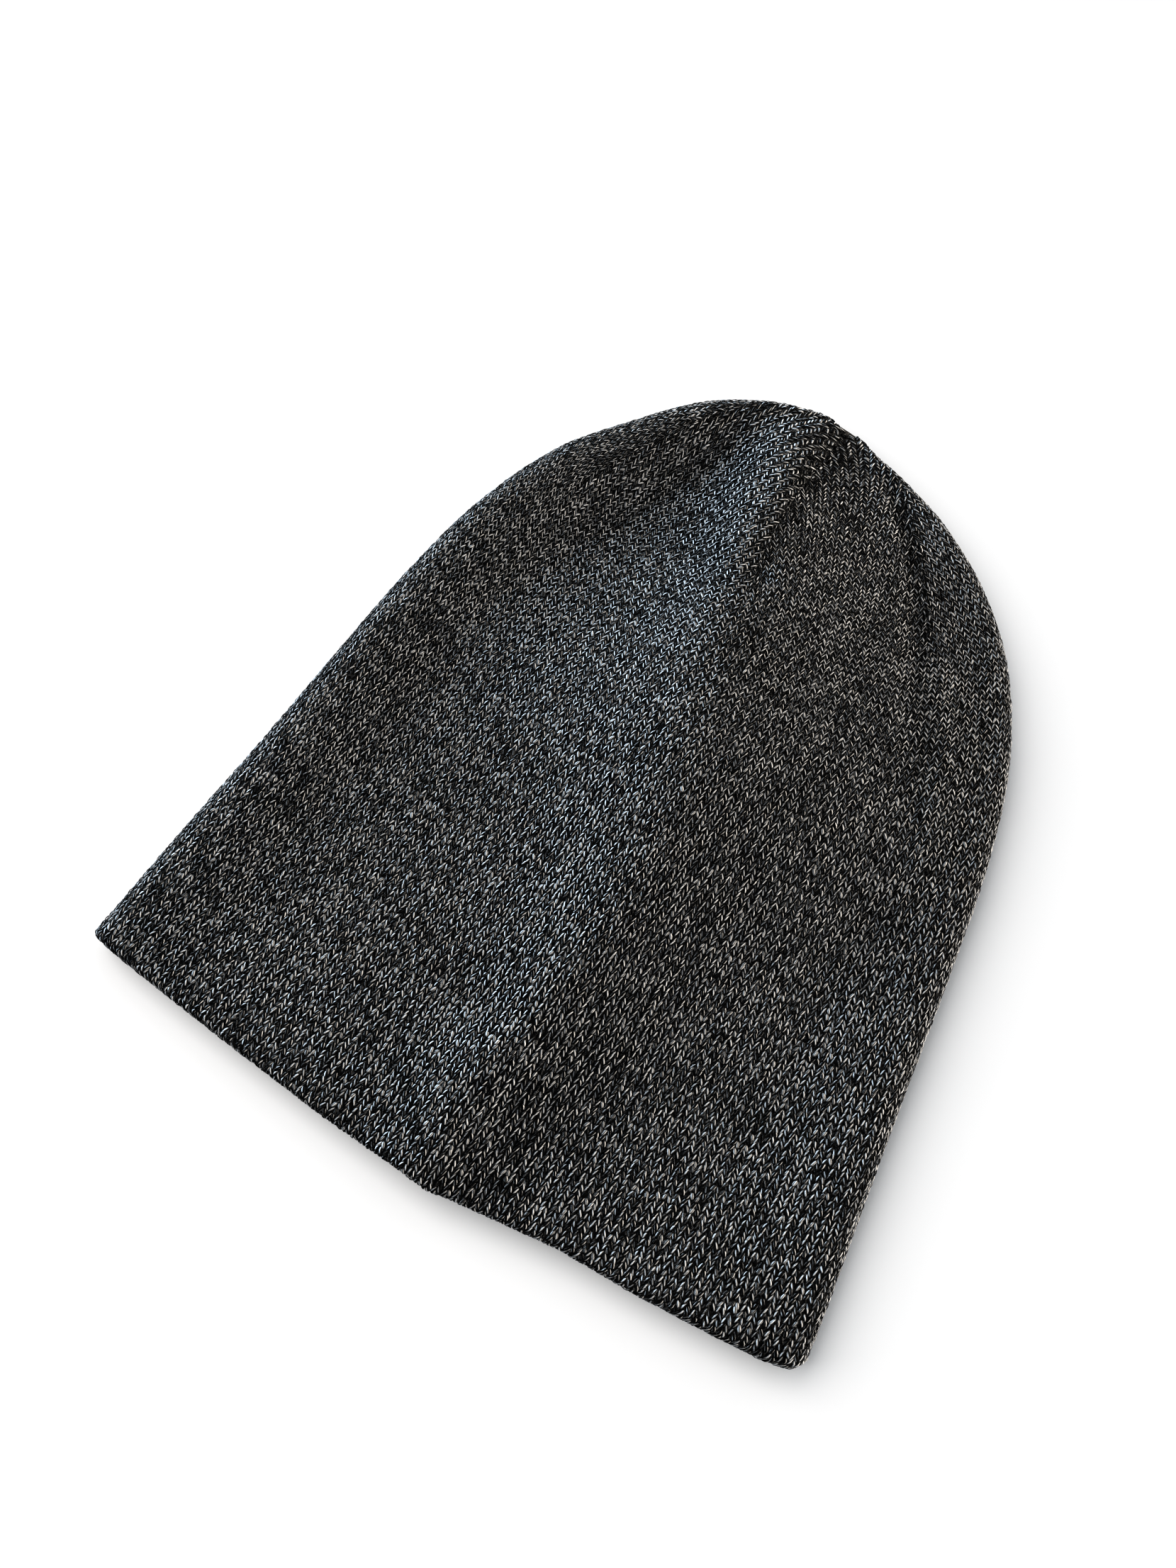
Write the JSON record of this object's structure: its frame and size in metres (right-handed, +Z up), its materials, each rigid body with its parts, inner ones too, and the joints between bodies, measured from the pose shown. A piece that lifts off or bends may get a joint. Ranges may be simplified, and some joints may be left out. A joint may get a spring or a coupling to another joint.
{
  "type": "knit watch cap",
  "caption": "Long fine-knit watch cap in marled dark grey, lying flat with its mouth open, plain rolled rim and a crown drawn together by darts.",
  "frame": {"origin": "on the surface the cap lies on, under the middle of its bounding box", "axes": "+X across the cap, +Y from the mouth to the tip of the crown, +Z up out of the surface"},
  "size_m": [0.2112, 0.303, 0.0246],
  "materials": {
    "marled_knit": "soft marled jersey knit in black and light grey yarn"
  },
  "bodies": {
    "root": {"knit_cap": "marled_knit"}
  },
  "joints": []
}
